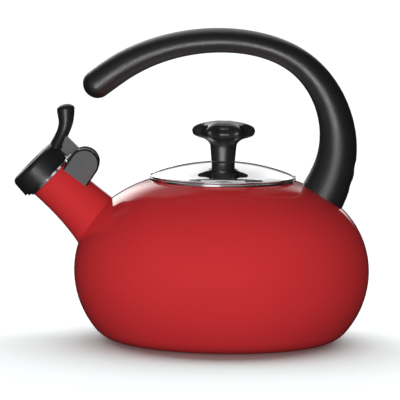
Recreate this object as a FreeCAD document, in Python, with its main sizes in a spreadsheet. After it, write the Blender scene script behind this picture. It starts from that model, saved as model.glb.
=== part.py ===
import FreeCAD, Part
import math
import os
import re

import Sketcher
from FreeCAD import Placement, Rotation, Vector

# Whistling kettle for the hob, in millimetres. The origin is the centre of the flat base, +Z is up,
# the spout points along -X and the handle is rooted on the +X side.
#
# Three slanted frames carry the parts that don't stand upright:
#   spout frame   origin at the spout's mouth, +Z out of the mouth, +X up and back
#   hinge frame   origin on the whistle's hinge pin, +Z forward along the spout's top, +X up
#   tongue frame  origin at the foot of the handle's bracket, +Z up its tongue, +X outwards

DIMENSIONS = {
    # enamelled body
    "body_radius": 102.05,
    "equator_height": 48.6,
    "shoulder_arc": 59.7,
    "shoulder_end": 52.0,
    "crown_arc": 94.8,
    "belly_arc": 63.0,
    "base_fillet": 23.0,
    "seam_angle": 39.0,
    "steel_wall": 1.2,
    "lip_radius": 47.0,
    "lip_top": 112.0,
    # trim ring on the neck
    "ring_radius": 50.4,
    "ring_bore": 45.0,
    "ring_sheet": 0.65,
    "ring_bottom": 111.35,
    "ring_top": 112.8,
    "ring_lip_bottom": 108.6,
    "ring_edge": 0.4,
    # spout, as circles across the spout frame
    "mouth_x": -119.2,
    "mouth_height": 110.0,
    "spout_tilt": 45.9,
    "spout_end": 3.0,
    "spout_radius_mouth": 15.5,
    "spout_depth_middle": 21.0,
    "spout_rise_middle": 2.0,
    "spout_radius_middle": 17.0,
    "spout_depth_root": 42.0,
    "spout_rise_root": 2.1,
    "spout_radius_root": 19.4,
    "spout_depth_inside": 62.0,
    "spout_rise_inside": 1.0,
    "spout_radius_inside": 24.0,
    # rolled ring on the spout's mouth
    "mouth_ring_radius": 16.5,
    "mouth_ring_bore": 13.3,
    "mouth_ring_sheet": 0.6,
    "mouth_ring_top": 3.75,
    "mouth_ring_lip": 2.5,
    "mouth_ring_foot": 0.9,
    # whistle cap, along the spout frame's +Z
    "cap_rim_height": 2.4,
    "cap_collar_radius": 18.4,
    "cap_skirt_height": 4.2,
    "cap_rim_radius": 20.2,
    "cap_face_height": 17.8,
    "cap_shoulder_height": 14.2,
    "cap_shoulder_radius": 19.5,
    "cap_face_radius": 15.5,
    "cap_round": 4.0,
    "cap_mouth_radius": 17.5,
    "cap_bore_radius": 16.6,
    "cap_floor_height": 12.4,
    "steam_hole_radius": 6.0,
    "steam_hole_chamfer": 0.8,
    # whistle, a drum of two plates and a spacer inside the cap
    "plate_radius": 16.5,
    "plate_sheet": 0.6,
    "plate_dish": 0.9,
    "plate_dish_slope": 1.35,
    "plate_dish_radius": 9.0,
    "whistle_hole_radius": 1.8,
    "rear_plate_height": 4.6,
    "front_plate_height": 11.7,
    "spacer_wall": 1.1,
    # hinge of the whistle, pin position in the spout frame
    "pin_rise": 24.0,
    "pin_depth": 9.8,
    "hinge_tilt": 56.9,
    "pin_radius": 1.5,
    "pin_bore": 1.56,
    "pin_seat_radius": 1.52,
    "pin_end_gap": 0.1,
    "pin_inset": 0.2,
    "housing_radius": 10.3,
    "housing_rise": 1.2,
    "housing_advance": 1.0,
    "housing_half_width": 11.2,
    "housing_edge": 1.6,
    "housing_foot": 14.0,
    "slot_half_width": 5.5,
    "slot_back": 7.2,
    "blind_wall": 1.6,
    "ear_sheet": 0.8,
    "ear_gap": 4.6,
    "ear_radius": 3.6,
    "saddle_half_length": 6.2,
    "saddle_top": -5.4,
    "saddle_bottom": -9.5,
    # arm, rib and lever moulded on the cap, in the spout frame
    "arm_bottom": 22.6,
    "arm_top": 29.2,
    "arm_back": -3.6,
    "arm_front": 13.5,
    "arm_half_width": 4.3,
    "hub_radius": 4.2,
    "hub_side": 0.6,
    "web_bottom": 19.0,
    "rib_bottom": 17.4,
    "rib_back": -0.4,
    "rib_front": 1.9,
    "rib_half_width": 3.0,
    "spring_slot_floor": 24.2,
    "spring_slot_front": 2.0,
    "spring_slot_width": 1.5,
    # torsion spring
    "spring_wire": 0.45,
    "spring_coil": 3.0,
    "spring_pitch": 1.0,
    "spring_turns": 3.25,
    "spring_side": 0.75,
    "spring_long_leg": 10.5,
    "spring_short_leg": 4.4,
    # handle bracket
    "tongue_foot_x": 70.2,
    "tongue_foot_height": 100.3,
    "tongue_tilt": 14.1,
    "tongue_sheet": 3.0,
    "tongue_half_width": 7.0,
    "tongue_length": 34.0,
    "tongue_root": 4.0,
    "saddle_sheet": 1.5,
    "saddle_low_angle": 52.6,
    "saddle_high_angle": 63.6,
    "saddle_sweep": 17.0,
    "fit_gap": 0.3,
    "screw_low": 13.0,
    "screw_high": 26.0,
    # screws
    "screw_point_inset": 0.5,
    "screw_point_length": 0.6,
    "handle_screw_radius": 2.4,
    "handle_screw_length": 11.4,
    "handle_head_radius": 4.3,
    "handle_head_height": 3.0,
    "tapped_hole_radius": 2.5,
    "washer_bore_radius": 2.6,
    "clearance_hole_radius": 2.8,
    "counterbore_radius": 5.0,
    "counterbore_floor": 9.0,
    "washer_sheet": 1.0,
    "washer_radius": 4.8,
    "recess_reach": 2.0,
    "recess_width": 0.9,
    "recess_depth": 1.5,
    # lid
    "lid_sheet": 0.8,
    "lid_gap": 0.05,
    "lid_dome_arc": 134.0,
    "lid_dome_angle": 19.0,
    "lid_edge_arc": 30.0,
    "lid_edge_angle": 25.5,
    "lid_edge_length": 3.1,
    "lid_bead": 0.8,
    "lid_seat_radius": 8.6,
    "skirt_radius": 44.6,
    "skirt_bottom": 103.6,
    "skirt_top": 115.4,
    "skirt_curl": 1.6,
    # knob
    "knob_foot_radius": 8.1,
    "knob_neck_radius": 9.1,
    "knob_neck_height": 11.4,
    "knob_flare_arc": 5.8,
    "knob_under_radius": 14.2,
    "knob_under_height": 16.4,
    "knob_nose_low_radius": 18.9,
    "knob_nose_low_height": 17.6,
    "knob_nose_arc": 4.5,
    "knob_nose_high_radius": 19.1,
    "knob_nose_high_height": 26.0,
    "knob_height": 28.5,
    "scallop_radius": 14.5,
    "scallop_reach": 30.0,
    "insert_radius": 3.5,
    "insert_length": 11.0,
    "insert_relief": 0.5,
    "insert_groove": 0.5,
    "insert_bore": 2.5,
    "knob_screw_radius": 2.4,
    "knob_screw_length": 11.5,
    "knob_head_radius": 4.4,
    "knob_head_height": 2.8,
    "knob_washer_radius": 6.5,
    "lid_hole_radius": 2.8,
    # handle grip tip
    "grip_tip_reach": 9.8,
    "lever_tip_reach": 3.4,
}

# The grip's centre line from its free tip to its root: x, height, width in the kettle's plane and
# depth across it. The last station lies inside the body, whose surface trims the root.
GRIP_STATIONS = [
    (-87.6, 176.5, 20.2, 23.0),
    (-68.8, 189.8, 19.7, 24.0),
    (-37.5, 203.0, 17.9, 24.6),
    (-6.6, 207.7, 17.1, 25.0),
    (24.7, 204.9, 16.9, 25.4),
    (51.0, 193.6, 18.4, 26.0),
    (70.3, 171.6, 21.3, 27.0),
    (78.8, 143.6, 25.2, 28.5),
    (76.6, 120.2, 28.8, 30.5),
    (67.2, 97.8, 32.5, 33.0),
]

# The lever's centre line in the spout frame, from inside the cap to its tip: rise, height, width in
# the kettle's plane and depth across it.
LEVER_STATIONS = [
    (13.0, 12.6, 8.0, 15.0),
    (20.0, 13.6, 9.0, 14.0),
    (25.5, 15.4, 8.6, 12.0),
    (31.8, 17.9, 9.0, 11.0),
    (36.5, 21.0, 10.4, 11.6),
    (42.1, 26.7, 12.2, 13.0),
]

SCALLOPS = 6
OVERRUN = 1  # how far a cutting form runs past what it cuts
INSERT_GROOVES = (0.3, 0.6)  # where the insert's grooves start, as shares of its length
# a screw's head: its side, the flat of its top and the arc between, as shares of its height and radius
HEAD_SIDE_SHARE = 0.45
HEAD_TOP_SHARE = 0.62
HEAD_ARC_SHARE = 0.95
SHEET = "Dimensions"

doc = FreeCAD.newDocument("whistling_kettle")
sheet = doc.addObject("Spreadsheet::Sheet", SHEET)


def fill_sheet():
    """Writes each driving dimension, and each station of the two curved bars, as a row with an alias."""
    for stem, stations in (("grip", GRIP_STATIONS), ("lever", LEVER_STATIONS)):
        for k, station in enumerate(stations, 1):
            for word, value in zip(("along", "rise", "width", "depth"), station):
                DIMENSIONS[f"{stem}_{word}_{k}"] = value
    for row, (alias, value) in enumerate(DIMENSIONS.items(), 1):
        sheet.set(f"A{row}", alias.replace("_", " "))
        sheet.set(f"B{row}", str(value))
        sheet.setAlias(f"B{row}", alias)
    doc.recompute()


fill_sheet()


def bound(formula):
    """The formula with each dimension's name led by its sheet's."""
    return re.sub(
        r"[a-z]\w*",
        lambda word: f"{SHEET}.{word[0]}" if word[0] in DIMENSIONS else word[0],
        str(formula),
    )


def size(formula):
    """What a formula of dimensions comes to."""
    return float(sheet.evalExpression(bound(formula)))


# ---------------------------------------------------------------- building blocks


def origin_item(body, role):
    return next(item for item in body.Origin.OriginFeatures if item.Role == role)


def draw(sketch, points, arcs=None):
    """Draws a closed outline through points, pairs of formulas. arcs holds, by the number of the point
    that the arc starts at, a formula for its radius, and +1 if it turns left or -1 if it turns right."""
    arcs = arcs or {}
    places = [Vector(size(x), size(y), 0) for x, y in points]
    ends = []
    for k, start in enumerate(places):
        end = places[(k + 1) % len(places)]
        if k in arcs:
            radius, turn = size(arcs[k][0]), arcs[k][1]
            first, last = (start, end) if turn > 0 else (end, start)
            chord = last - first
            left = Vector(-chord.y, chord.x, 0).normalize()
            centre = (first + last) / 2 + left * math.sqrt(max(radius**2 - chord.Length**2 / 4, 0))
            from_angle = math.atan2(first.y - centre.y, first.x - centre.x)
            to_angle = math.atan2(last.y - centre.y, last.x - centre.x)
            if to_angle < from_angle:
                to_angle += 2 * math.pi
            circle = Part.Circle(centre, Vector(0, 0, 1), radius)
            sketch.addGeometry(Part.ArcOfCircle(circle, from_angle, to_angle))
            ends.append((1, 2) if turn > 0 else (2, 1))
        else:
            sketch.addGeometry(Part.LineSegment(start, end))
            ends.append((1, 2))
    for k in range(len(points)):
        after = (k + 1) % len(points)
        sketch.addConstraint(Sketcher.Constraint("Coincident", k, ends[k][1], after, ends[after][0]))
    for k, (formulas, place) in enumerate(zip(points, places)):
        measures = (("DistanceX", formulas[0], place.x, -2), ("DistanceY", formulas[1], place.y, -1))
        for kind, formula, value, axis in measures:
            if abs(value) < 1e-9:
                sketch.addConstraint(Sketcher.Constraint("PointOnObject", k, ends[k][0], axis))
                continue
            measure(sketch, Sketcher.Constraint(kind, -1, 1, k, ends[k][0], value), f"{kind}_{k}", formula)
        if k in arcs:
            radius = arcs[k][0]
            measure(sketch, Sketcher.Constraint("Radius", k, size(radius)), f"Radius_{k}", radius)


def measure(sketch, constraint, name, formula):
    """Adds a dimension to a sketch and binds it to the sheet."""
    number = sketch.addConstraint(constraint)
    sketch.renameConstraint(number, name)
    sketch.setExpression(f"Constraints.{name}", bound(formula))


def new_sketch(body, name, plane="XZ_Plane", lift=None):
    sketch = body.newObject("Sketcher::SketchObject", name)
    sketch.AttachmentSupport = [(origin_item(body, plane), "")]
    sketch.MapMode = "FlatFace"
    if lift is not None:
        sketch.AttachmentOffset = Placement(Vector(0, 0, size(lift)), Rotation())
        sketch.setExpression("AttachmentOffset.Base.z", bound(lift))
    return sketch


def new_body(label):
    body = doc.addObject("PartDesign::Body", label)
    body.Label = label
    return body


def revolved(label, points, arcs=None, sweep=None):
    """A body turned about its own Z axis, all the way round or through a sweep centred on the XZ plane."""
    body = new_body(label)
    sketch = new_sketch(body, f"{label}_profile")
    draw(sketch, points, arcs)
    turned = body.newObject("PartDesign::Revolution", f"{label}_turned")
    turned.Profile = sketch
    turned.ReferenceAxis = (sketch, ["V_Axis"])
    turned.Angle = 360 if sweep is None else size(sweep)
    if sweep is not None:
        turned.setExpression("Angle", bound(sweep))
        turned.Midplane = True
    sketch.Visibility = False
    return body


def padded(label, points, arcs, thickness, plane="XZ_Plane"):
    """A body padded to both sides of one of its own planes."""
    body = new_body(label)
    sketch = new_sketch(body, f"{label}_outline", plane)
    draw(sketch, points, arcs)
    pad = body.newObject("PartDesign::Pad", f"{label}_pad")
    pad.Profile = sketch
    pad.Midplane = True
    pad.setExpression("Length", bound(thickness))
    return body


def round_bar(label, radius, length, place=None):
    bar = doc.addObject("Part::Cylinder", label)
    bar.Label = label
    bar.setExpression("Radius", bound(radius))
    bar.setExpression("Height", bound(length))
    if place is not None:
        bar.Placement = place
    return bar


def block(label, low, high, frame=None):
    """A box between two corners, each three formulas in the given frame."""
    made = doc.addObject("Part::Box", label)
    made.Label = label
    for name, a, b in zip(("Length", "Width", "Height"), low, high):
        made.setExpression(name, bound(f"({b}) - ({a})"))
    corner = Placement(Vector(*(size(a) for a in low)), Rotation())
    made.Placement = (frame or Placement()).multiply(corner)
    return made


def joined(label, *pieces):
    made = doc.addObject("Part::MultiFuse", label)
    made.Label = label
    made.Shapes = list(pieces)
    return made


def without(label, base, *tools):
    """The base less the tools, as a chain of cuts whose last one has the label."""
    for k, tool in enumerate(tools):
        last = k == len(tools) - 1
        made = doc.addObject("Part::Cut", label if last else f"{label}_cut_{k + 1}")
        made.Base = base
        made.Tool = tool
        base = made
    base.Label = label
    return base


def grouped(label, *pieces):
    made = doc.addObject("Part::Compound", label)
    made.Label = label
    made.Links = list(pieces)
    return made


def feature(label, shape):
    made = doc.addObject("Part::Feature", label)
    made.Label = label
    made.Shape = shape
    return made


def frame_at(x, height, turn):
    """A frame in the kettle's middle plane, tipped forwards by turn degrees about -Y."""
    return Placement(Vector(x, 0, height), Rotation(Vector(0, -1, 0), turn))


def place_spout_frame(made):
    """Puts a body drawn in the spout frame in its place, bound to the sheet."""
    made.Placement = SPOUT_FRAME
    made.setExpression("Placement.Base.x", bound("mouth_x"))
    made.setExpression("Placement.Base.z", bound("mouth_height"))
    made.setExpression("Placement.Rotation.Angle", bound("spout_tilt"))
    return made


SPOUT_FRAME = frame_at(size("mouth_x"), size("mouth_height"), size("spout_tilt"))
PIN_CENTRE = SPOUT_FRAME.multVec(Vector(size("pin_rise"), 0, -size("pin_depth")))
HINGE_FRAME = frame_at(PIN_CENTRE.x, PIN_CENTRE.z, size("hinge_tilt"))
TONGUE_FRAME = frame_at(size("tongue_foot_x"), size("tongue_foot_height"), -size("tongue_tilt"))
ACROSS = Rotation(Vector(1, 0, 0), -90)  # turns a bar's +Z to +Y
OUTWARDS = Rotation(Vector(0, 1, 0), 90)  # turns a bar's +Z to +X


# ---------------------------------------------------------------- enamelled body

BELLY_CENTRE = "(body_radius - belly_arc)"
SHOULDER_CENTRE = "(body_radius - shoulder_arc)"
CROWN_CENTRE = f"({SHOULDER_CENTRE} + (shoulder_arc - crown_arc) * cos(shoulder_end))"
CROWN_HEIGHT = "(equator_height + (shoulder_arc - crown_arc) * sin(shoulder_end))"
FILLET_CENTRE = (
    f"({BELLY_CENTRE} + sqrt((belly_arc - base_fillet)^2 - (equator_height - base_fillet)^2))"
)


def on_belly(radius, angle):
    """A point of an arc about the belly's centre, angle degrees below the equator."""
    return (
        f"{BELLY_CENTRE} + ({radius}) * cos({angle})",
        f"equator_height - ({radius}) * sin({angle})",
    )


def on_crown(lift, angle):
    """A point of the flatter arc above the shoulder, lifted off its face, angle degrees up."""
    return (
        f"{CROWN_CENTRE} + (crown_arc + ({lift})) * cos({angle})",
        f"{CROWN_HEIGHT} + (crown_arc + ({lift})) * sin({angle})",
    )


def crown_at(lift, distance):
    """The point of that arc at a distance from the kettle's axis."""
    return distance, f"{CROWN_HEIGHT} + sqrt((crown_arc + ({lift}))^2 - ({distance} - {CROWN_CENTRE})^2)"


def fillet_end(inset):
    """Where the base's rounded corner runs into the belly, inset inwards."""
    cosine = f"({FILLET_CENTRE} - {BELLY_CENTRE}) / (belly_arc - base_fillet)"
    sine = "(equator_height - base_fillet) / (belly_arc - base_fillet)"
    return (
        f"{BELLY_CENTRE} + (belly_arc - ({inset})) * {cosine}",
        f"equator_height - (belly_arc - ({inset})) * {sine}",
    )


def kettle_envelope():
    """The body's outer form as one solid, which trims what stands on it."""
    points = [
        ("0", "0"),
        (FILLET_CENTRE, "0"),
        fillet_end("0"),
        ("body_radius", "equator_height"),
        on_crown("0", "shoulder_end"),
        crown_at("0", "lip_radius"),
        ("0", crown_at("0", "lip_radius")[1]),
    ]
    arcs = {
        1: ("base_fillet", 1),
        2: ("belly_arc", 1),
        3: ("shoulder_arc", 1),
        4: ("crown_arc", 1),
    }
    return revolved("kettle_envelope", points, arcs)


def shell_blank():
    """The drawn shell from the base seam up to the neck's lip, before the spout's hole."""
    inner_lip = "(lip_radius - steel_wall)"
    points = [
        on_belly("belly_arc", "seam_angle"),
        ("body_radius", "equator_height"),
        on_crown("0", "shoulder_end"),
        crown_at("0", "lip_radius"),
        ("lip_radius", "lip_top"),
        (inner_lip, "lip_top"),
        crown_at("-steel_wall", inner_lip),
        on_crown("-steel_wall", "shoulder_end"),
        ("body_radius - steel_wall", "equator_height"),
        on_belly("belly_arc - steel_wall", "seam_angle"),
    ]
    arcs = {
        0: ("belly_arc", 1),
        1: ("shoulder_arc", 1),
        2: ("crown_arc", 1),
        6: ("crown_arc - steel_wall", -1),
        7: ("shoulder_arc - steel_wall", -1),
        8: ("belly_arc - steel_wall", -1),
    }
    return revolved("shell_blank", points, arcs)


def base_plate():
    """The bottom pan, butt welded to the shell's lower edge."""
    points = [
        ("0", "0"),
        (FILLET_CENTRE, "0"),
        fillet_end("0"),
        on_belly("belly_arc", "seam_angle"),
        on_belly("belly_arc - steel_wall", "seam_angle"),
        fillet_end("steel_wall"),
        (FILLET_CENTRE, "steel_wall"),
        ("0", "steel_wall"),
    ]
    arcs = {
        1: ("base_fillet", 1),
        2: ("belly_arc", 1),
        4: ("belly_arc - steel_wall", -1),
        5: ("base_fillet - steel_wall", -1),
    }
    return revolved("base_plate", points, arcs)


def neck_trim_ring():
    """The stainless ring clipped over the neck's raw edge, which the lid rests on."""
    inner = "ring_bore + ring_sheet"
    points = [
        ("ring_radius", "ring_bottom"),
        ("ring_radius", "ring_top - ring_edge"),
        ("ring_radius - ring_edge", "ring_top"),
        ("ring_bore + ring_edge", "ring_top"),
        ("ring_bore", "ring_top - ring_edge"),
        ("ring_bore", "ring_lip_bottom"),
        (inner, "ring_lip_bottom"),
        (inner, "ring_top - ring_sheet"),
        ("ring_radius - ring_sheet", "ring_top - ring_sheet"),
        ("ring_radius - ring_sheet", "ring_bottom"),
    ]
    return revolved("neck_trim_ring", points, {1: ("ring_edge", 1), 3: ("ring_edge", 1)})


# ---------------------------------------------------------------- spout


def spout_form(label, inset, end):
    """The spout's tapering form, a loft through circles across the spout frame."""
    body = new_body(label)
    stations = [
        (end, "0", "spout_radius_mouth"),
        ("-spout_depth_middle", "spout_rise_middle", "spout_radius_middle"),
        ("-spout_depth_root", "spout_rise_root", "spout_radius_root"),
        ("-spout_depth_inside", "spout_rise_inside", "spout_radius_inside"),
    ]
    sketches = []
    for k, (height, rise, radius) in enumerate(stations):
        sketch = new_sketch(body, f"{label}_station_{k + 1}", "XY_Plane", height)
        radius = f"{radius} - ({inset})"
        sketch.addGeometry(Part.Circle(Vector(size(rise), 0, 0), Vector(0, 0, 1), size(radius)))
        measure(sketch, Sketcher.Constraint("Radius", 0, size(radius)), "radius", radius)
        sketch.addConstraint(Sketcher.Constraint("PointOnObject", 0, 3, -1))
        if size(rise) > 0:
            measure(sketch, Sketcher.Constraint("DistanceX", -1, 1, 0, 3, size(rise)), "rise", rise)
        else:
            sketch.addConstraint(Sketcher.Constraint("PointOnObject", 0, 3, -2))
        sketches.append(sketch)
    loft = body.newObject("PartDesign::AdditiveLoft", f"{label}_loft")
    loft.Profile = sketches[0]
    loft.Sections = sketches[1:]
    return place_spout_frame(body)


def spout_rim_ring(tube):
    """The stainless ring rolled over the spout's end, whose taper it follows."""
    outside, inside = "mouth_ring_radius", "mouth_ring_bore"
    turn = "mouth_ring_sheet"
    points = [
        (outside, "mouth_ring_foot"),
        (outside, f"mouth_ring_top - {turn}"),
        (f"{outside} - {turn}", "mouth_ring_top"),
        (f"{inside} + {turn}", "mouth_ring_top"),
        (inside, f"mouth_ring_top - {turn}"),
        (inside, "-mouth_ring_lip"),
        (f"{inside} + {turn}", "-mouth_ring_lip"),
        (f"{inside} + {turn}", f"mouth_ring_top - {turn}"),
        (f"{outside} - {turn}", f"mouth_ring_top - {turn}"),
        (f"{outside} - {turn}", "mouth_ring_foot"),
    ]
    arcs = {1: (turn, 1), 3: (turn, 1)}
    rolled = place_spout_frame(revolved("rim_ring_form", points, arcs))
    return without("spout_rim_ring", rolled, tube)


# ---------------------------------------------------------------- whistle cap and its drum


def cap_form():
    points = [
        ("0", "cap_rim_height"),
        ("cap_collar_radius", "cap_rim_height"),
        ("cap_collar_radius", "cap_skirt_height"),
        ("cap_rim_radius", "cap_skirt_height"),
        ("cap_shoulder_radius", "cap_shoulder_height"),
        ("cap_face_radius", "cap_face_height"),
        ("0", "cap_face_height"),
    ]
    return place_spout_frame(revolved("cap_form", points, {4: ("cap_round", 1)}))


def cap_cavity():
    """The cap's bore for the drum, its flared mouth and the steam hole, as one cutting solid."""
    points = [
        ("0", f"cap_rim_height - {OVERRUN}"),
        ("cap_mouth_radius", f"cap_rim_height - {OVERRUN}"),
        ("cap_mouth_radius", "cap_rim_height"),
        ("cap_bore_radius", "rear_plate_height - plate_sheet"),
        ("cap_bore_radius", "cap_floor_height"),
        ("steam_hole_radius", "cap_floor_height"),
        ("steam_hole_radius", "cap_face_height - steam_hole_chamfer"),
        ("steam_hole_radius + steam_hole_chamfer", "cap_face_height"),
        ("steam_hole_radius + steam_hole_chamfer", f"cap_face_height + {OVERRUN}"),
        ("0", f"cap_face_height + {OVERRUN}"),
    ]
    return place_spout_frame(revolved("cap_cavity", points))


def curved_bar(stations, stem, frame, tip):
    """A solid bar of oval section through stations of a centre line, with a rounded end at one of them."""
    path = Part.BSplineCurve()
    path.interpolate([Vector(size(f"{stem}_along_{k}"), 0, size(f"{stem}_rise_{k}")) for k in stations])
    wires, places = [], []
    for k in stations:
        centre = Vector(size(f"{stem}_along_{k}"), 0, size(f"{stem}_rise_{k}"))
        forward = path.tangent(path.parameter(centre))[0]
        upright = Vector(0, 1, 0)
        side = upright.cross(forward)
        place = Placement(centre, Rotation(side, upright, forward, "ZXY"))
        half_width, half_depth = size(f"{stem}_width_{k}") / 2, size(f"{stem}_depth_{k}") / 2
        wires.append(oval(place, half_width, half_depth))
        places.append((place, half_width, half_depth))
    bar = Part.makeLoft(wires, True, False)
    place, half_width, half_depth = places[tip]
    reach = size(f"{stem}_tip_reach")
    end = Part.makeSphere(1)
    stretch = FreeCAD.Matrix()
    stretch.scale(half_width, half_depth, reach)
    end = end.transformGeometry(stretch)
    end.Placement = place
    whole = bar.fuse(end).removeSplitter()
    whole.Placement = frame.multiply(whole.Placement)
    return whole


def oval(place, half_width, half_depth):
    """An ellipse across a bar, half_width along the place's X and half_depth along its Y."""
    if half_width >= half_depth:
        ellipse = Part.Ellipse(Vector(), half_width, half_depth)
        wire = Part.Wire(ellipse.toShape())
    else:
        ellipse = Part.Ellipse(Vector(), half_depth, half_width)
        wire = Part.Wire(ellipse.toShape())
        wire.rotate(Vector(), Vector(0, 0, 1), 90)
    wire.Placement = place.multiply(wire.Placement)
    return wire


def whistle_cap(cavity):
    """The moulded cap with its thumb lever, the arm back to the hinge, and the arm's web and rib."""
    # the lever is a free-form bar, which no primitive or sketch feature gives
    lever = feature("lever_form", curved_bar(range(1, len(LEVER_STATIONS) + 1), "lever", SPOUT_FRAME, -1))
    half = "arm_half_width"
    arm = block(
        "arm_form",
        ("arm_bottom", f"-{half}", "arm_back"),
        ("arm_top", half, "arm_front"),
        SPOUT_FRAME,
    )
    link = block(
        "link_form",
        ("arm_bottom", f"-{half}", "-pin_depth"),
        ("pin_rise + hub_radius", "-hub_side", "arm_back"),
        SPOUT_FRAME,
    )
    hub_place = SPOUT_FRAME.multiply(
        Placement(Vector(size("pin_rise"), -size("arm_half_width"), -size("pin_depth")), ACROSS)
    )
    hub = round_bar("hub_form", "hub_radius", "arm_half_width - hub_side", hub_place)
    rib = block(
        "rib_form",
        ("rib_bottom", "-rib_half_width", "rib_back"),
        ("arm_bottom", "rib_half_width", "rib_front"),
        SPOUT_FRAME,
    )
    web = block(
        "web_form",
        ("web_bottom", "-rib_half_width", "cap_rim_height"),
        ("arm_bottom", "rib_half_width", "arm_front"),
        SPOUT_FRAME,
    )
    body = joined("cap_moulding", cap_form(), lever, arm, link, hub, rib, web)
    bore_place = SPOUT_FRAME.multiply(
        Placement(Vector(size("pin_rise"), -size("housing_half_width"), -size("pin_depth")), ACROSS)
    )
    bore = round_bar("hub_bore", "pin_bore", "2 * housing_half_width", bore_place)
    slot = block(
        "spring_leg_slot",
        ("spring_slot_floor", "spring_side - spring_slot_width / 2", f"arm_back - {OVERRUN}"),
        (f"arm_top + {OVERRUN}", "spring_side + spring_slot_width / 2", "spring_slot_front"),
        SPOUT_FRAME,
    )
    return without("whistle_cap", body, cavity, bore, slot)


def whistle_plate(label, height, outwards):
    """A disc with a dished middle and a sharp-edged hole; the dish bulges towards +Z if outwards is 1."""
    dish = f"({height} + {outwards} * plate_dish)"
    slope = "(plate_dish_radius + plate_dish_slope)"
    points = [
        ("whistle_hole_radius", dish),
        ("plate_dish_radius", dish),
        (slope, height),
        ("plate_radius", height),
        ("plate_radius", f"{height} + plate_sheet"),
        (slope, f"{height} + plate_sheet"),
        ("plate_dish_radius", f"{dish} + plate_sheet"),
        ("whistle_hole_radius", f"{dish} + plate_sheet"),
    ]
    return place_spout_frame(revolved(label, points))


def whistle_spacer():
    points = [
        ("plate_radius - spacer_wall", "rear_plate_height + plate_sheet"),
        ("plate_radius", "rear_plate_height + plate_sheet"),
        ("plate_radius", "front_plate_height"),
        ("plate_radius - spacer_wall", "front_plate_height"),
    ]
    return place_spout_frame(revolved("whistle_spacer", points))


# ---------------------------------------------------------------- whistle hinge


def hinge_housing(spout_solid):
    """The moulded D-shaped cover over the hinge: two cheeks joined by a back wall, sat on the spout."""
    radius = "housing_radius"
    back, middle, front = f"housing_advance - {radius}", "housing_advance", f"housing_advance + {radius}"
    points = [
        ("-housing_foot", back),
        ("housing_rise", back),
        (f"housing_rise + {radius}", middle),
        ("housing_rise", front),
        ("-housing_foot", front),
    ]
    # in the XZ plane's sketch the first coordinate is up from the pin and the second is forward
    body = padded("housing_form", points, {1: (radius, 1), 2: (radius, 1)}, "2 * housing_half_width")
    doc.recompute()
    pad = body.Tip
    rims = [
        f"Edge{k}"
        for k, edge in enumerate(pad.Shape.Edges, 1)
        if all(abs(abs(v.Point.y) - size("housing_half_width")) < 1e-6 for v in edge.Vertexes)
        and max(v.Point.x for v in edge.Vertexes) > -size("housing_foot") + 1e-6
    ]
    fillet = body.newObject("PartDesign::Fillet", "housing_edges")
    fillet.Base = (pad, rims)
    fillet.setExpression("Radius", bound("housing_edge"))
    body.Tip = fillet
    body.Placement = HINGE_FRAME
    slot = block(
        "housing_slot",
        (f"-housing_foot - {OVERRUN}", "-slot_half_width", "-slot_back"),
        (f"housing_rise + {radius} + {OVERRUN}", "slot_half_width", f"{front} + {OVERRUN}"),
        HINGE_FRAME,
    )
    bore_start = -size("housing_half_width") + size("blind_wall")
    bore_place = HINGE_FRAME.multiply(Placement(Vector(0, bore_start, 0), ACROSS))
    bore = round_bar("housing_bore", "pin_seat_radius", "2 * housing_half_width", bore_place)
    return without("hinge_housing", body, slot, bore, spout_solid)


def whistle_bracket(spout_solid):
    """The sheet bracket welded on the spout: a saddle and two ears that carry the pin."""
    saddle = block(
        "bracket_saddle",
        ("saddle_bottom", "-ear_gap - ear_sheet", "-saddle_half_length"),
        ("saddle_top", "ear_gap + ear_sheet", "saddle_half_length"),
        HINGE_FRAME,
    )
    ears = []
    for side in (-1, 1):
        edge = "-ear_gap - ear_sheet" if side < 0 else "ear_gap"
        ears.append(
            block(
                f"ear_foot_{side + 2}",
                ("saddle_bottom", edge, "-ear_radius"),
                ("0", f"{edge} + ear_sheet", "ear_radius"),
                HINGE_FRAME,
            )
        )
        place = HINGE_FRAME.multiply(Placement(Vector(0, size(edge), 0), ACROSS))
        ears.append(round_bar(f"ear_top_{side + 2}", "ear_radius", "ear_sheet", place))
    whole = joined("bracket_form", saddle, *ears)
    place = HINGE_FRAME.multiply(Placement(Vector(0, -size("housing_half_width"), 0), ACROSS))
    bore = round_bar("bracket_bore", "pin_seat_radius", "2 * housing_half_width", place)
    return without("whistle_bracket", whole, bore, spout_solid)


def hinge_pin():
    """The plain pin, seated blind in the near cheek and flush in the far one."""
    start = -size("housing_half_width") + size("blind_wall") + size("pin_end_gap")
    place = HINGE_FRAME.multiply(Placement(Vector(0, start, 0), ACROSS))
    length = "2 * housing_half_width - blind_wall - pin_end_gap - pin_inset"
    return round_bar("hinge_pin", "pin_radius", length, place)


def hinge_spring():
    """The torsion spring round the pin: one leg over the arm, the other down on the bracket's saddle."""
    # its wire is one swept helix with two straight legs, which only Part's own sweep gives
    wire, coil, pitch = size("spring_wire"), size("spring_coil"), size("spring_pitch")
    height = pitch * size("spring_turns")
    helix = Part.makeHelix(pitch, height, coil)
    start, finish = Vector(coil, 0, 0), Vector(0, coil, height)
    leg_start = start - Vector(0, size("spring_long_leg"), 0)
    leg_finish = finish - Vector(size("spring_short_leg"), 0, 0)
    long_leg = Part.LineSegment(leg_start, start).toShape()
    short_leg = Part.LineSegment(finish, leg_finish).toShape()
    path = Part.Wire([long_leg, *helix.Edges, short_leg])
    section = Part.Wire(Part.makeCircle(wire, leg_start, Vector(0, 1, 0)))
    coiled = path.makePipeShell([section], True, True)
    spring = feature("hinge_spring", coiled)
    spring.Placement = HINGE_FRAME.multiply(Placement(Vector(0, size("spring_side"), 0), ACROSS))
    return spring


# ---------------------------------------------------------------- handle


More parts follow.
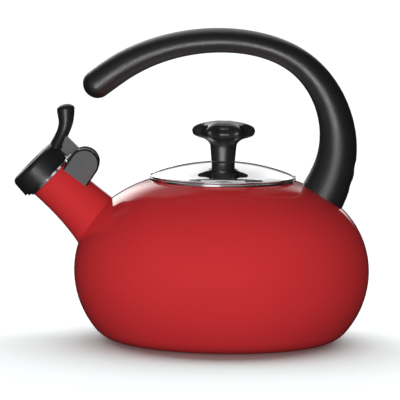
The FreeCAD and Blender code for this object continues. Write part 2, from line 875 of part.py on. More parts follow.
def saddle_patch(label, grow):
    """A patch of sheet that follows the body under the handle. It grows as many degrees as millimetres."""
    lift = f"saddle_sheet + ({grow})"
    points = [
        on_crown("0", f"saddle_low_angle - ({grow})"),
        on_crown(lift, f"saddle_low_angle - ({grow})"),
        on_crown(lift, f"saddle_high_angle + ({grow})"),
        on_crown("0", f"saddle_high_angle + ({grow})"),
    ]
    arcs = {1: (f"crown_arc + {lift}", 1), 3: ("crown_arc", -1)}
    return revolved(label, points, arcs, f"saddle_sweep + 2 * ({grow})")


def tongue(label, grow):
    half_sheet = f"tongue_sheet / 2 + ({grow})"
    half_width = f"tongue_half_width + ({grow})"
    return block(
        label,
        (f"-({half_sheet})", f"-({half_width})", "-tongue_root"),
        (half_sheet, half_width, f"tongue_length + ({grow})"),
        TONGUE_FRAME,
    )


def screw_place(height, out):
    """A place on the axis of one of the handle's screws, facing outwards."""
    return TONGUE_FRAME.multiply(Placement(Vector(size(out), 0, size(height)), OUTWARDS))


def across_tongue(label, radius, start, length):
    """A bar along each of the two screw axes."""
    bars = [
        round_bar(f"{label}_{k}", radius, length, screw_place(height, start))
        for k, height in enumerate(("screw_low", "screw_high"), 1)
    ]
    return joined(label, *bars)


def handle_bracket(envelope):
    """The steel bracket welded to the shoulder, with a tongue that goes up into the handle."""
    blank = joined("bracket_blank", saddle_patch("bracket_patch", "0"), tongue("bracket_tongue", "0"))
    holes = across_tongue("bracket_holes", "tapped_hole_radius", "-tongue_sheet", "2 * tongue_sheet")
    return without("handle_bracket", blank, holes, envelope)


def handle_grip(envelope):
    """The moulded handle, hollowed for the bracket and bored from behind for its two screws."""
    # the grip is a free-form bar, which no primitive or sketch feature gives
    form = feature("grip_form", curved_bar(range(1, len(GRIP_STATIONS) + 1), "grip", Placement(), 0))
    socket = tongue("tongue_socket", "fit_gap")
    recess = saddle_patch("saddle_recess", "fit_gap")
    holes = across_tongue("grip_holes", "clearance_hole_radius", "0", "40")
    bores = across_tongue("grip_counterbores", "counterbore_radius", "counterbore_floor", "40")
    return without("handle_grip", form, envelope, socket, recess, holes, bores)


def screw(label, radius, length, head_radius, head_height, place):
    """A pan-head screw with a cross recess, its head's underside at the place and its shank along -Z."""
    body = revolved(
        label,
        [
            ("0", f"-({length})"),
            (f"{radius} - screw_point_inset", f"-({length})"),
            (radius, f"screw_point_length - ({length})"),
            (radius, "0"),
            (head_radius, "0"),
            (head_radius, f"{head_height} * {HEAD_SIDE_SHARE}"),
            (f"{head_radius} * {HEAD_TOP_SHARE}", head_height),
            ("0", head_height),
        ],
        {5: (f"{head_height} * {HEAD_ARC_SHARE}", 1)},
    )
    reach, width = "recess_reach", "recess_width / 2"
    corners = [(reach, width), (width, width), (width, reach)]
    points = []
    for quarter in range(4):
        for x, y in corners:
            points.append([(x, y), (f"-({y})", x), (f"-({x})", f"-({y})"), (y, f"-({x})")][quarter])
    sketch = new_sketch(body, f"{label}_cross", "XY_Plane", head_height)
    draw(sketch, points)
    pocket = body.newObject("PartDesign::Pocket", f"{label}_recess")
    pocket.Profile = sketch
    pocket.setExpression("Length", bound("recess_depth"))
    body.Tip = pocket
    body.Placement = place
    return body


def washer(label, inner, outer, sheet_thickness, place):
    points = [
        (inner, "0"),
        (outer, "0"),
        (outer, sheet_thickness),
        (inner, sheet_thickness),
    ]
    made = revolved(label, points)
    made.Placement = place
    return made


def handle_fasteners():
    screws, washers = [], []
    for k, height in enumerate(("screw_low", "screw_high"), 1):
        washers.append(
            washer(
                f"handle_washer_{k}",
                "washer_bore_radius",
                "washer_radius",
                "washer_sheet",
                screw_place(height, "counterbore_floor"),
            )
        )
        screws.append(
            screw(
                f"handle_screw_{k}",
                "handle_screw_radius",
                "handle_screw_length",
                "handle_head_radius",
                "handle_head_height",
                screw_place(height, "counterbore_floor + washer_sheet"),
            )
        )
    return grouped("handle_screws", *screws), grouped("handle_washers", *washers)


# ---------------------------------------------------------------- lid
# The lid's sheet runs from a flat seat for the knob over a shallow dome and a tighter edge to a short
# straight slope with a rolled bead. Heights are measured from the apex.


def lid_station(number, inset):
    """A point of the lid's sheet, inset below its top face, counted from the knob's seat outwards."""
    dome, edge = f"(lid_dome_arc - ({inset}))", f"(lid_edge_arc - ({inset}))"
    edge_x = "(lid_dome_arc - lid_edge_arc) * sin(lid_dome_angle)"
    edge_y = "(lid_dome_arc - lid_edge_arc) * cos(lid_dome_angle) - lid_dome_arc"
    end_x = f"{edge_x} + {edge} * sin(lid_edge_angle)"
    end_y = f"{edge_y} + {edge} * cos(lid_edge_angle)"
    stations = [
        ("lid_seat_radius", f"sqrt({dome}^2 - lid_seat_radius^2) - lid_dome_arc"),
        (f"{dome} * sin(lid_dome_angle)", f"{dome} * cos(lid_dome_angle) - lid_dome_arc"),
        (end_x, end_y),
        (
            f"{end_x} + lid_edge_length * cos(lid_edge_angle)",
            f"{end_y} - lid_edge_length * sin(lid_edge_angle)",
        ),
    ]
    return stations[number]


LID_SEAT_DROP = f"({lid_station(0, '0')[1]})"
LID_RIM_X = f"({lid_station(3, '0')[0]})"
LID_RIM_DROP = f"({lid_station(3, '0')[1]})"
LID_APEX = f"(ring_top + lid_gap + 2 * lid_bead - lid_sheet / 2 - {LID_RIM_DROP})"
KNOB_SEAT = f"({LID_APEX} + {LID_SEAT_DROP})"
LID_UNDERSIDE = f"({LID_APEX} + {lid_station(0, 'lid_sheet')[1]})"


def raise_to(made, height):
    """Lifts a body drawn about its own origin to a height on the kettle's axis, bound to the sheet."""
    made.Placement = Placement(Vector(0, 0, size(height)), Rotation())
    made.setExpression("Placement.Base.z", bound(height))
    return made


def lid_dome():
    """The polished lid, a sheet of even thickness with a rolled bead round its edge."""
    seat = lid_station(0, "0")[1]
    points = [("lid_hole_radius", seat)]
    points += [lid_station(k, "0") for k in (0, 1, 2, 3)]
    points += [lid_station(k, "lid_sheet") for k in (3, 2, 1, 0)]
    points += [("lid_hole_radius", f"{lid_station(0, 'lid_sheet')[1]}")]
    arcs = {
        1: ("lid_dome_arc", -1),
        2: ("lid_edge_arc", -1),
        6: ("lid_edge_arc - lid_sheet", 1),
        7: ("lid_dome_arc - lid_sheet", 1),
    }
    sheet_part = raise_to(revolved("lid_sheet_form", points, arcs), LID_APEX)
    bead = doc.addObject("Part::Torus", "lid_bead_form")
    bead.setExpression("Radius1", bound(LID_RIM_X))
    bead.setExpression("Radius2", bound("lid_bead"))
    raise_to(bead, f"{LID_APEX} + {LID_RIM_DROP} - lid_bead + lid_sheet / 2")
    return joined("lid_dome", sheet_part, bead)


def lid_skirt():
    """The short tube welded under the lid, which plugs the neck; its lower edge curls inwards."""
    inner = "(skirt_radius - lid_sheet)"
    points = [
        ("skirt_radius", "skirt_bottom + skirt_curl"),
        ("skirt_radius", "skirt_top"),
        (inner, "skirt_top"),
        (inner, "skirt_bottom + skirt_curl"),
        ("skirt_radius - skirt_curl", "skirt_bottom + lid_sheet"),
        ("skirt_radius - skirt_curl", "skirt_bottom"),
    ]
    return revolved("lid_skirt", points, {3: ("skirt_curl - lid_sheet", -1), 5: ("skirt_curl", 1)})


def lid_knob():
    """The moulded knob, fluted all round its head and bored for a threaded insert."""
    points = [
        ("insert_radius", "0"),
        ("knob_foot_radius", "0"),
        ("knob_neck_radius", "knob_neck_height"),
        ("knob_under_radius", "knob_under_height"),
        ("knob_nose_low_radius", "knob_nose_low_height"),
        ("knob_nose_high_radius", "knob_nose_high_height"),
        ("0", "knob_height"),
        ("0", "insert_length + insert_relief"),
        ("insert_radius", "insert_length + insert_relief"),
    ]
    crown = "(knob_height - knob_nose_high_height)"
    arcs = {
        2: ("knob_flare_arc", -1),
        4: ("knob_nose_arc", 1),
        # the crown's arc is centred on the axis, so the top is part of a sphere
        5: (f"(knob_nose_high_radius^2 + {crown}^2) / (2 * {crown})", 1),
    }
    body = revolved("lid_knob", points, arcs)
    # half a pitch round, so that a lobe points along the kettle's length and a scallop faces the side
    sketch = new_sketch(body, "knob_scallop", "XY_Plane", "knob_neck_height")
    half_pitch = 180 / SCALLOPS
    across, along = f"scallop_reach * cos({half_pitch})", f"scallop_reach * sin({half_pitch})"
    centre = Vector(size(across), size(along), 0)
    sketch.addGeometry(Part.Circle(centre, Vector(0, 0, 1), size("scallop_radius")))
    measure(sketch, Sketcher.Constraint("Radius", 0, size("scallop_radius")), "radius", "scallop_radius")
    measure(sketch, Sketcher.Constraint("DistanceX", -1, 1, 0, 3, centre.x), "across", across)
    measure(sketch, Sketcher.Constraint("DistanceY", -1, 1, 0, 3, centre.y), "along", along)
    doc.recompute()
    pocket = body.newObject("PartDesign::Pocket", "knob_scallop_cut")
    pocket.Profile = sketch
    pocket.Reversed = True
    pocket.setExpression("Length", bound("knob_height"))
    pattern = body.newObject("PartDesign::PolarPattern", "knob_scallops")
    pattern.Originals = [pocket]
    pattern.Axis = (sketch, ["N_Axis"])
    pattern.Angle = 360
    pattern.Occurrences = SCALLOPS
    body.Tip = pattern
    return raise_to(body, KNOB_SEAT)


def knob_insert():
    """The brass insert moulded into the knob, with two retaining grooves."""
    groove = "(insert_radius - insert_groove)"
    points = [("insert_bore", "0"), ("insert_radius", "0")]
    for share in INSERT_GROOVES:
        low = f"insert_length * {share}"
        points += [
            ("insert_radius", low),
            (groove, f"{low} + insert_groove"),
            (groove, f"{low} + 3 * insert_groove"),
            ("insert_radius", f"{low} + 4 * insert_groove"),
        ]
    points += [("insert_radius", "insert_length"), ("insert_bore", "insert_length")]
    return raise_to(revolved("knob_insert", points), KNOB_SEAT)


def knob_fasteners():
    under = f"({LID_UNDERSIDE} - washer_sheet)"
    ring = washer(
        "knob_washer",
        "washer_bore_radius",
        "knob_washer_radius",
        "washer_sheet",
        Placement(Vector(0, 0, size(under)), Rotation()),
    )
    upside_down = Rotation(Vector(1, 0, 0), 180)
    bolt = screw(
        "knob_screw",
        "knob_screw_radius",
        "knob_screw_length",
        "knob_head_radius",
        "knob_head_height",
        Placement(Vector(0, 0, size(under)), upside_down),
    )
    return ring, bolt


# ---------------------------------------------------------------- assembly


def build():
    envelope = kettle_envelope()
    spout_solid = spout_form("spout_outside", "0", "spout_end")
    spout_bore = spout_form("spout_inside", "steel_wall", f"spout_end + {OVERRUN}")
    doc.recompute()
    shell = without("body_shell", shell_blank(), spout_bore)
    spout = without("spout_tube", spout_solid, spout_bore, envelope)
    ring, bolt = knob_fasteners()
    screws, washers = handle_fasteners()
    return [
        shell,
        base_plate(),
        spout,
        spout_rim_ring(spout),
        neck_trim_ring(),
        handle_bracket(envelope),
        handle_grip(envelope),
        screws,
        washers,
        whistle_bracket(spout_solid),
        hinge_housing(spout_solid),
        hinge_pin(),
        hinge_spring(),
        whistle_cap(cap_cavity()),
        whistle_plate("whistle_front_plate", "front_plate_height", -1),
        whistle_plate("whistle_rear_plate", "rear_plate_height", 1),
        whistle_spacer(),
        lid_dome(),
        lid_skirt(),
        lid_knob(),
        knob_insert(),
        ring,
        bolt,
    ]


def check(nodes):
    """Stops on an object that failed to rebuild, or a node without a sound solid."""
    failed = [o.Name for o in doc.Objects if {"Invalid", "Error"} & set(o.State)]
    if failed:
        raise RuntimeError(f"these objects failed: {failed}")
    for node in nodes:
        shape = node.Shape
        if shape.isNull() or not shape.isValid() or not shape.Solids:
            raise RuntimeError(f"{node.Label} has no sound solid")
        print(f"{node.Label:22s} solids {len(shape.Solids)}  volume {shape.Volume:10.1f}")


def main():
    nodes = build()
    doc.recompute()
    check(nodes)
    os.makedirs("parts", exist_ok=True)
    for node in nodes:
        node.Shape.exportStep(os.path.join("parts", f"{node.Label}.step"))
    pin = PIN_CENTRE
    print(f"hinge pin at x {pin.x:.3f}, z {pin.z:.3f}; knob seat at z {size(KNOB_SEAT):.3f}")


main()
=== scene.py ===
import math

import bpy
from mathutils import Matrix, Vector


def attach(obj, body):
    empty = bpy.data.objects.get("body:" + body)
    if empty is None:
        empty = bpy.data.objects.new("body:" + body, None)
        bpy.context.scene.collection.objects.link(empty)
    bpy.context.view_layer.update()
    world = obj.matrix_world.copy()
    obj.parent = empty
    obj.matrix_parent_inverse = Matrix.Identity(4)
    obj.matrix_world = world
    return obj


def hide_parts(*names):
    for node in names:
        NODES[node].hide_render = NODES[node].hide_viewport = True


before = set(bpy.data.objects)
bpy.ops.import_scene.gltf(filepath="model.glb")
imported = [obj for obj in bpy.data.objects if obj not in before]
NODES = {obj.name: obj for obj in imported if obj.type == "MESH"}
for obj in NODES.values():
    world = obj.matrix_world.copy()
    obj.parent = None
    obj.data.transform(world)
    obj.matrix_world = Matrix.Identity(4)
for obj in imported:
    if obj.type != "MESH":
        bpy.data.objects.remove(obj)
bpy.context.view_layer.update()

MM = 0.001

# ---------------------------------------------------------------- node helpers


def node(tree, kind, **settings):
    """Adds a node, and sets each setting on the socket or the property of that name."""
    made = tree.nodes.new(kind)
    for name, value in settings.items():
        if name in made.inputs:
            made.inputs[name].default_value = value
        else:
            setattr(made, name, value)
    return made


def math_node(tree, operation, first, second=None):
    made = node(tree, "ShaderNodeMath", operation=operation)
    for socket, value in zip(made.inputs, (first, second)):
        if isinstance(value, (int, float)):
            socket.default_value = value
        elif value is not None:
            tree.links.new(value, socket)
    return made.outputs[0]


def ramp(tree, value, low, high, to_low, to_high, smooth=False):
    """Maps a value from one range to another, clamped at both ends."""
    made = node(tree, "ShaderNodeMapRange")
    if smooth:
        made.interpolation_type = "SMOOTHSTEP"
    for name, number in zip(("From Min", "From Max", "To Min", "To Max"), (low, high, to_low, to_high)):
        made.inputs[name].default_value = number
    tree.links.new(value, made.inputs["Value"])
    return made.outputs["Result"]


def split_vector(tree, vector):
    made = tree.nodes.new("ShaderNodeSeparateXYZ")
    tree.links.new(vector, made.inputs[0])
    return made.outputs


# ---------------------------------------------------------------- materials


# depths of relief, in metres
ENAMEL_PEEL = 0.000012
POLISHING_MARK = 0.0000008
ROLLED_GRAIN = 0.00001

# distances from the middle plane, in metres, that part the arm's flat, the lever's round, the housing's
# flat and the cap's round, and so bound the painted sheen on the flats; each is a ramp from the third
# number to the fourth
ARM_EDGE = (0.0046, 0.0050, 1, 0)
HOUSING_EDGE = (0.0068, 0.0072, 0, 1)
CAP_EDGE = (0.0125, 0.0135, 1, 0)
MATT_EXTRA = 0.25


def new_material(name):
    material = bpy.data.materials.new(name)
    material.use_nodes = True
    tree = material.node_tree
    tree.nodes.clear()
    output = tree.nodes.new("ShaderNodeOutputMaterial")
    shader = tree.nodes.new("ShaderNodeBsdfPrincipled")
    tree.links.new(shader.outputs["BSDF"], output.inputs["Surface"])
    return material, tree, shader


def object_place(tree):
    return tree.nodes.new("ShaderNodeTexCoord").outputs["Object"]


def noise(tree, place, scale, detail=3.0, roughness=0.5):
    made = node(tree, "ShaderNodeTexNoise", Scale=scale, Detail=detail, Roughness=roughness)
    tree.links.new(place, made.inputs["Vector"])
    return ramp(tree, made.outputs["Fac"], 0.3, 0.7, 0.0, 1.0)


def bump(tree, height, distance):
    made = node(tree, "ShaderNodeBump", Strength=1.0, Distance=distance)
    tree.links.new(height, made.inputs["Height"])
    return made.outputs["Normal"]


def mix_colour(tree, factor, first, second):
    """Mixes two colours, each given as three numbers or as a socket."""
    made = node(tree, "ShaderNodeMix", data_type="RGBA")
    tree.links.new(factor, made.inputs["Factor"])
    for name, colour in (("A", first), ("B", second)):
        socket = next(s for s in made.inputs if s.name == name and s.type == "RGBA")
        if isinstance(colour, tuple):
            socket.default_value = (*colour, 1)
        else:
            tree.links.new(colour, socket)
    return next(s for s in made.outputs if s.type == "RGBA")


def grey(level):
    return (level, level, level)


def enamel():
    """Fired red enamel: a glossy coat with a slight orange peel over faintly uneven colour."""
    material, tree, shader = new_material("red_enamel")
    place = object_place(tree)
    colour = mix_colour(tree, noise(tree, place, 14.0, 2.0), (0.665, 0.033, 0.038), (0.71, 0.036, 0.042))
    tree.links.new(colour, shader.inputs["Base Color"])
    uneven = ramp(tree, noise(tree, place, 60.0, 4.0), 0, 1, 0.06, 0.10)
    tree.links.new(uneven, shader.inputs["Roughness"])
    tree.links.new(bump(tree, noise(tree, place, 260.0, 2.0), ENAMEL_PEEL), shader.inputs["Normal"])
    shader.inputs["Specular Tint"].default_value = (1.0, 0.3, 0.26, 1.0)
    return material


def ring_lines(tree, place, density):
    """Noise that varies only with the distance from the kettle's axis, like marks of spinning."""
    axes = split_vector(tree, place)
    across = math_node(tree, "MULTIPLY", axes["X"], axes["X"])
    along = math_node(tree, "MULTIPLY", axes["Y"], axes["Y"])
    radius = math_node(tree, "SQRT", math_node(tree, "ADD", across, along))
    line = tree.nodes.new("ShaderNodeCombineXYZ")
    tree.links.new(radius, line.inputs["X"])
    return noise(tree, line.outputs[0], density, 2.0)


def polished_steel(name, rough):
    """Polished stainless with faint rings from polishing."""
    material, tree, shader = new_material(name)
    place = object_place(tree)
    rings = ring_lines(tree, place, 2600.0)
    tree.links.new(bump(tree, rings, POLISHING_MARK), shader.inputs["Normal"])
    uneven = ramp(tree, noise(tree, place, 45.0, 4.0), 0, 1, rough - 0.01, rough + 0.02)
    tree.links.new(uneven, shader.inputs["Roughness"])
    colour = mix_colour(tree, noise(tree, place, 9.0), grey(0.86), grey(0.89))
    tree.links.new(colour, shader.inputs["Base Color"])
    shader.inputs["Metallic"].default_value = 1.0
    return material


def plain_metal(name, colour, rough):
    """Pressed or turned metal that nobody polished."""
    material, tree, shader = new_material(name)
    place = object_place(tree)
    darker = tuple(c * 0.85 for c in colour)
    shade = mix_colour(tree, noise(tree, place, 120.0, 5.0), darker, colour)
    tree.links.new(shade, shader.inputs["Base Color"])
    uneven = ramp(tree, noise(tree, place, 400.0, 4.0), 0, 1, rough - 0.06, rough + 0.08)
    tree.links.new(uneven, shader.inputs["Roughness"])
    tree.links.new(bump(tree, noise(tree, place, 1500.0), ROLLED_GRAIN), shader.inputs["Normal"])
    shader.inputs["Metallic"].default_value = 1.0
    return material


def phenolic(name, rough, level, grain, depth, painted_sheen_level=None, shine=0.5):
    """Black phenolic moulding with the fine grain of its mould, grain per metre and depth deep. With
    a flat level given, its flat sides are made rougher and painted that pale grey, a painted sheen."""
    material, tree, shader = new_material(name)
    place = object_place(tree)
    speckle = noise(tree, place, grain, 4.0, 0.7)
    shade = mix_colour(tree, speckle, grey(level * 0.75), grey(level * 1.25))
    uneven = ramp(tree, noise(tree, place, 70.0, 4.0), 0, 1, rough - 0.03, rough + 0.04)
    if painted_sheen_level is not None:
        coordinates = tree.nodes["Texture Coordinate"]
        sideways = math_node(tree, "ABSOLUTE", split_vector(tree, coordinates.outputs["Normal"])["Y"])
        flat = ramp(tree, sideways, 0.98, 0.998, 0.0, 1.0, smooth=True)
        # the painted sheen goes only on the flats of the arm and the housing, and not on the rounds of
        # the lever and the cap
        out = math_node(tree, "ABSOLUTE", split_vector(tree, place)["Y"])
        arm, housing, cap = (ramp(tree, out, *edge) for edge in (ARM_EDGE, HOUSING_EDGE, CAP_EDGE))
        for share in (math_node(tree, "ADD", arm, housing), cap):
            flat = math_node(tree, "MULTIPLY", flat, share)
        # painted sheen: the flat faces' base colour is painted pale grey in place of the light they
        # catch; they are also made rougher below
        painted_sheen = mix_colour(tree, speckle, grey(painted_sheen_level * 0.8), grey(painted_sheen_level * 1.2))
        shade = mix_colour(tree, flat, shade, painted_sheen)
        uneven = math_node(tree, "ADD", uneven, math_node(tree, "MULTIPLY", flat, MATT_EXTRA))
    tree.links.new(shade, shader.inputs["Base Color"])
    tree.links.new(uneven, shader.inputs["Roughness"])
    tree.links.new(bump(tree, speckle, depth), shader.inputs["Normal"])
    shader.inputs["Specular IOR Level"].default_value = shine
    return material


def dress(names, material):
    for name in names:
        mesh = NODES[name].data
        mesh.materials.clear()
        mesh.materials.append(material)


def dress_all():
    """Gives every CAD piece its material, and returns the knob's."""
    dress(("body_shell", "base_plate", "spout_tube"), enamel())
    dress(("lid_dome",), polished_steel("polished_steel", 0.035))
    dress(("neck_trim_ring", "spout_rim_ring"), polished_steel("rolled_steel", 0.16))
    inner = (
        "handle_bracket", "handle_screws", "handle_washers", "whistle_bracket", "hinge_pin", "lid_skirt",
        "whistle_front_plate", "whistle_rear_plate", "whistle_spacer", "knob_screw", "knob_washer",
    )
    dress(inner, plain_metal("plain_steel", (0.62, 0.61, 0.59), 0.3))
    dress(("hinge_spring",), plain_metal("spring_steel", (0.45, 0.45, 0.46), 0.25))
    dress(("knob_insert",), plain_metal("turned_brass", (0.75, 0.56, 0.24), 0.25))
    dress(("handle_grip",), phenolic("grip_phenolic", 0.36, 0.014, 900.0, 0.00009, shine=0.85))
    # the last number on this line and the next is the pale grey painted on the flats, a painted sheen
    dress(("whistle_cap",), phenolic("cap_phenolic", 0.39, 0.014, 1200.0, 0.00003, 0.10))
    dress(("hinge_housing",), phenolic("housing_phenolic", 0.40, 0.014, 1000.0, 0.00006, 0.10))
    return phenolic("knob_phenolic", 0.34, 0.016, 2600.0, 0.00001)


# ---------------------------------------------------------------- knob

# Outlines of the knob's head from its neck to its top, as (radius, height above the seat) in mm:
# one through the ridge of a lobe, the other through the middle of a scoop.
NECK_HEIGHT = 11.4
LOBE_OUTLINE = (
    (9.1, 11.4), (10.0, 13.4), (12.8, 15.7), (17.2, 17.1), (20.6, 18.7), (21.75, 21.5),
    (21.0, 23.8), (19.3, 25.2), (17.4, 26.1), (15.2, 26.8), (12.4, 27.4), (8.5, 28.05), (0.0, 28.5),
)
SCOOP_OUTLINE = (
    (9.1, 11.4), (9.8, 13.1), (12.0, 15.5), (14.6, 17.4), (16.1, 19.0), (16.4, 20.6),
    (15.8, 22.2), (15.1, 23.4), (14.9, 24.6), (14.4, 25.7), (12.4, 26.8), (8.5, 27.9), (0.0, 28.5),
)
FOOT_RADIUS = 8.1
BORE_RADIUS = 3.5
BORE_DEPTH = 11.5
EDGE_BREAK = 0.3
KNOB_SEAT = 123.697
STEM_ROWS = 8
SCOOPS = 6
SCOOP_FLAT = 0.25  # share of a scoop's half-width that is at full depth


def spline(a, b, c, d, t):
    """A Catmull-Rom curve between b and c, at a share t of the way."""
    straight = 2 * b + (c - a) * t
    return 0.5 * (straight + (2 * a - 5 * b + 4 * c - d) * t**2 + (3 * b - a - 3 * c + d) * t**3)


def smooth_outline(points, steps):
    """Points at even steps along a smooth curve through an outline."""
    found = []
    spans = len(points) - 1
    for step in range(steps + 1):
        along = step / steps * spans
        span = min(int(along), spans - 1)
        t = along - span
        nearby = [points[min(max(span + k, 0), spans)] for k in (-1, 0, 1, 2)]
        found.append(tuple(spline(*values, t) for values in zip(*nearby)))
    return found


def scoop_share(angle):
    """How far the head is scooped at an angle: 1 in the middle of a scoop, 0 on a ridge."""
    pitch = 2 * math.pi / SCOOPS
    across = 2 * ((angle / pitch) % 1) - 1
    return 0.5 + 0.5 * math.cos(math.pi * max(abs(across) - SCOOP_FLAT, 0) / (1 - SCOOP_FLAT))


def knob(material, steps=66, around=216):
    """The moulded knob as a closed mesh: bore, foot, stem and the scooped head."""
    lobe, scoop = smooth_outline(LOBE_OUTLINE, steps), smooth_outline(SCOOP_OUTLINE, steps)
    neck_gain = LOBE_OUTLINE[0][0] - FOOT_RADIUS
    plain = [
        (BORE_RADIUS, BORE_DEPTH), (BORE_RADIUS, EDGE_BREAK), (BORE_RADIUS + EDGE_BREAK, 0),
        (FOOT_RADIUS - EDGE_BREAK, 0), (FOOT_RADIUS, EDGE_BREAK),
    ]
    for k in range(1, STEM_ROWS):
        plain.append((FOOT_RADIUS + neck_gain * k / STEM_ROWS, NECK_HEIGHT * k / STEM_ROWS))
    rows = len(plain) + steps
    vertices = [(0, 0, (KNOB_SEAT + BORE_DEPTH) * MM)]
    for row in range(rows):
        for k in range(around):
            angle = 2 * math.pi * k / around
            if row < len(plain):
                radius, height = plain[row]
            else:
                share = scoop_share(angle)
                ridge, hollow = lobe[row - len(plain)], scoop[row - len(plain)]
                radius, height = (r + (h - r) * share for r, h in zip(ridge, hollow))
            place = (radius * math.cos(angle), radius * math.sin(angle), KNOB_SEAT + height)
            vertices.append(tuple(v * MM for v in place))
    vertices.append((0, 0, (KNOB_SEAT + lobe[-1][1]) * MM))
    last = len(vertices) - 1
    faces = []
    for k in range(around):
        after = (k + 1) % around
        faces.append((0, 1 + k, 1 + after))
        for row in range(rows - 1):
            low, high = 1 + row * around, 1 + (row + 1) * around
            faces.append((low + k, high + k, high + after, low + after))
        top = 1 + (rows - 1) * around
        faces.append((top + k, last, top + after))
    mesh = bpy.data.meshes.new("knob_moulding")
    mesh.from_pydata(vertices, [], faces)
    mesh.shade_smooth()
    mesh.materials.append(material)
    made = bpy.data.objects.new("knob_moulding", mesh)
    bpy.context.scene.collection.objects.link(made)
    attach(made, "lid")
    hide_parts("lid_knob")
    return made


# ---------------------------------------------------------------- stage, lights and camera

STEEL_PARTS = ("lid_dome", "neck_trim_ring", "spout_rim_ring")
BLACK_PARTS = ("handle_grip", "whistle_cap", "hinge_housing")
MIDDLE = (0, 0, 0.08)

# strengths of what reflections see behind the kettle, to the left, in the middle and to the right
PANEL_LEFT = 3.1
PANEL_MIDDLE = 0.24
PANEL_RIGHT = 1.35
# how the panel dims upwards, starts above the floor and ends overhead, as ramps: from one height to
# another, and from one level to another
PANEL_HEIGHTS = ((0.30, 0.60, 1, 0.12), (0.035, 0.10, 0, 1), (0.72, 0.82, 1, 0))
# where it starts on the left and ends on the right, as ramps of slant
PANEL_SIDES = ((-0.50, -0.40, 0, 1), (0.26, 0.33, 1, 0))
GLOW_AIM = (-0.35, -0.92, 0.15)
GLOW_LEVELS = (0.01, 0.18)
# strengths of the light all round: level, from overhead and from below
AMBIENT_SIDE = 0.42
AMBIENT_TOP = 0.18
AMBIENT_FLOOR = 0.08

# soft boxes that only the polished steel mirrors, seen from other sides than the camera's: place,
# width and height
STEEL_PANELS = {
    "steel_left": ((-2.3, 0.2, 1.5), 3.0, 1.8),
    "steel_right": ((2.3, 0.2, 1.5), 3.0, 1.8),
    "steel_front": ((0.2, -2.3, 1.6), 3.0, 1.8),
    "steel_top": ((0, 0, 2.6), 3.6, 3.6),
}
STEEL_RADIANCE = 0.6

CAMERA_PLACE = (-0.0156, -2.75, 0.385)
CAMERA_TARGET = (-0.0156, 0, 0.097)
CAMERA_ROLL = 0.015


def stage():
    """A plain pale floor that gives off a little light of its own."""
    material, tree, shader = new_material("white_sweep")
    place = object_place(tree)
    colour = mix_colour(tree, noise(tree, place, 3.0), (0.575, 0.61, 0.61), (0.595, 0.63, 0.63))
    tree.links.new(colour, shader.inputs["Base Color"])
    shader.inputs["Roughness"].default_value = 0.9
    shader.inputs["Specular IOR Level"].default_value = 0.0
    shader.inputs["Emission Color"].default_value = (1, 1, 1, 1)
    shader.inputs["Emission Strength"].default_value = 0.045
    bpy.ops.mesh.primitive_plane_add(size=60)
    floor = bpy.context.object
    floor.name = "floor"
    floor.data.materials.append(material)
    floor.visible_glossy = False
    floor.visible_diffuse = False
    return floor


def only_for(lamp, objects):
    """Makes a lamp light the given objects only."""
    receivers = bpy.data.collections.new(f"{lamp.name}_receivers")
    for item in objects:
        receivers.objects.link(item)
    lamp.light_linking.receiver_collection = receivers
    return receivers


def area_light(name, place, target, width, height, power, glossy=False, diffuse=True):
    light = bpy.data.lights.new(name, "AREA")
    light.shape = "RECTANGLE"
    light.size = width
    light.size_y = height
    light.energy = power
    lamp = bpy.data.objects.new(name, light)
    bpy.context.scene.collection.objects.link(lamp)
    lamp.location = place
    lamp.rotation_euler = (Vector(target) - Vector(place)).to_track_quat("-Z", "Y").to_euler()
    lamp.visible_camera = False
    lamp.visible_glossy = glossy
    lamp.visible_diffuse = diffuse
    return lamp


def soft_sun(name, strength, spread, lean):
    """An even light from overhead and behind, with its spread and its lean in degrees."""
    light = bpy.data.lights.new(name, "SUN")
    light.energy = strength
    light.angle = math.radians(spread)
    lamp = bpy.data.objects.new(name, light)
    bpy.context.scene.collection.objects.link(lamp)
    lamp.rotation_euler = (-math.radians(lean), 0, 0)
    lamp.visible_glossy = False
    return lamp


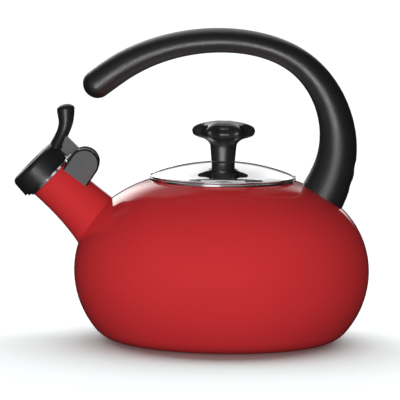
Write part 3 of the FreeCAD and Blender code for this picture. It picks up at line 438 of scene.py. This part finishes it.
def studio_world():
    """White to the camera. Reflections see a white panel behind the kettle, a soft glow in front and
    dark elsewhere; diffuse light comes from all round, less from overhead and below."""
    world = bpy.data.worlds.new("studio")
    bpy.context.scene.world = world
    world.use_nodes = True
    tree = world.node_tree
    tree.nodes.clear()
    direction = tree.nodes.new("ShaderNodeTexCoord").outputs["Generated"]
    axes = split_vector(tree, direction)
    side, forward, up = axes["X"], axes["Y"], axes["Z"]

    # the panel behind, by a direction's slant from straight back and by its height
    slant = math_node(tree, "DIVIDE", side, math_node(tree, "MAXIMUM", forward, 0.01))
    to_left = ramp(tree, slant, -0.26, -0.04, PANEL_LEFT, PANEL_MIDDLE, smooth=True)
    to_right = ramp(tree, slant, 0.12, 0.28, 0, PANEL_RIGHT, smooth=True)
    panel = math_node(tree, "ADD", to_left, to_right)
    shares = [ramp(tree, up, *edge, smooth=True) for edge in PANEL_HEIGHTS]
    shares += [ramp(tree, slant, *edge, smooth=True) for edge in PANEL_SIDES]
    shares.append(ramp(tree, forward, 0.1, 0.2, 0, 1))
    for share in shares:
        panel = math_node(tree, "MULTIPLY", panel, share)

    # the glow in front
    towards = node(tree, "ShaderNodeVectorMath", operation="DOT_PRODUCT")
    tree.links.new(direction, towards.inputs[0])
    towards.inputs[1].default_value = Vector(GLOW_AIM).normalized()
    glow = ramp(tree, towards.outputs["Value"], 0.3, 1.0, *GLOW_LEVELS, smooth=True)
    mirrored = math_node(tree, "ADD", panel, glow)

    # the light all round
    upper = ramp(tree, up, 0.0, 0.9, AMBIENT_SIDE, AMBIENT_TOP)
    lower = ramp(tree, up, -0.9, 0.0, AMBIENT_FLOOR, AMBIENT_SIDE)
    is_up = math_node(tree, "GREATER_THAN", up, 0.0)
    ambient = node(tree, "ShaderNodeMix", data_type="FLOAT")
    tree.links.new(is_up, ambient.inputs["Factor"])
    tree.links.new(lower, ambient.inputs["A"])
    tree.links.new(upper, ambient.inputs["B"])

    # which of them a ray meets
    path = tree.nodes.new("ShaderNodeLightPath")
    for_gloss = node(tree, "ShaderNodeMix", data_type="FLOAT")
    tree.links.new(path.outputs["Is Glossy Ray"], for_gloss.inputs["Factor"])
    tree.links.new(ambient.outputs["Result"], for_gloss.inputs["A"])
    tree.links.new(mirrored, for_gloss.inputs["B"])
    strength = node(tree, "ShaderNodeMix", data_type="FLOAT")
    tree.links.new(path.outputs["Is Camera Ray"], strength.inputs["Factor"])
    tree.links.new(for_gloss.outputs["Result"], strength.inputs["A"])
    strength.inputs["B"].default_value = 1.0

    background = tree.nodes.new("ShaderNodeBackground")
    tree.links.new(strength.outputs["Result"], background.inputs["Strength"])
    background.inputs["Color"].default_value = (1, 1, 1, 1)
    output = tree.nodes.new("ShaderNodeOutputWorld")
    tree.links.new(background.outputs[0], output.inputs["Surface"])


def lights(floor, made_knob):
    everything = list(NODES.values()) + [made_knob]
    steel = [NODES[name] for name in STEEL_PARTS]
    fixed_black = [NODES[name] for name in BLACK_PARTS]
    black = fixed_black + [made_knob]
    mirrored = {"glossy": True, "diffuse": False}

    only_for(area_light("key", (-0.4, -3.2, 0.5), MIDDLE, 3.6, 1.4, 80), everything)
    only_for(area_light("back_fill", (0.8, 3.0, 0.9), MIDDLE, 1.6, 1.2, 24), everything)
    only_for(soft_sun("floor_wash", 6.8, 107, 46), [floor])

    only_for(area_light("front_panel", (-0.8, -2.5, 0.35), MIDDLE, 1.2, 1.4, 5, **mirrored), steel)
    for name, (place, width, height) in STEEL_PANELS.items():
        power = STEEL_RADIANCE * math.pi * width * height
        only_for(area_light(name, place, MIDDLE, width, height, power, **mirrored), steel)
    only_for(area_light("crest_sheen", (-0.2, 1.4, 2.3), MIDDLE, 1.4, 0.8, 3.5, **mirrored), black)

    # only the pieces that these light can shade them, and not the floor or the body
    shaded = (
        ("back_panel", (-0.4, 2.4, 1.5), (0, 0, 0.1), 2.8, 1.9, 13.5, steel + black),
        ("knob_sheen", (-0.45, -2.6, -0.25), MIDDLE, 2.2, 0.8, 66, [made_knob]),
        ("front_sheen", (-0.35, -2.6, -0.55), MIDDLE, 0.8, 0.8, 40, fixed_black),
    )
    for name, place, target, width, height, power, lit in shaded:
        lamp = area_light(name, place, target, width, height, power, **mirrored)
        lamp.light_linking.blocker_collection = only_for(lamp, lit)


def camera():
    """A long view from the side, slightly from above and slightly rolled."""
    data = bpy.data.cameras.new("camera")
    eye = bpy.data.objects.new("camera", data)
    bpy.context.scene.collection.objects.link(eye)
    upright = (Vector(CAMERA_TARGET) - Vector(CAMERA_PLACE)).to_track_quat("-Z", "Y").to_matrix()
    eye.location = CAMERA_PLACE
    eye.rotation_euler = (upright @ Matrix.Rotation(CAMERA_ROLL, 3, "Z")).to_euler()
    data.sensor_width = 36
    data.lens = 360
    data.clip_end = 100
    bpy.context.scene.camera = eye


black_knob = knob(dress_all())
studio_world()
lights(stage(), black_knob)
camera()
bpy.context.scene.view_settings.view_transform = "Standard"
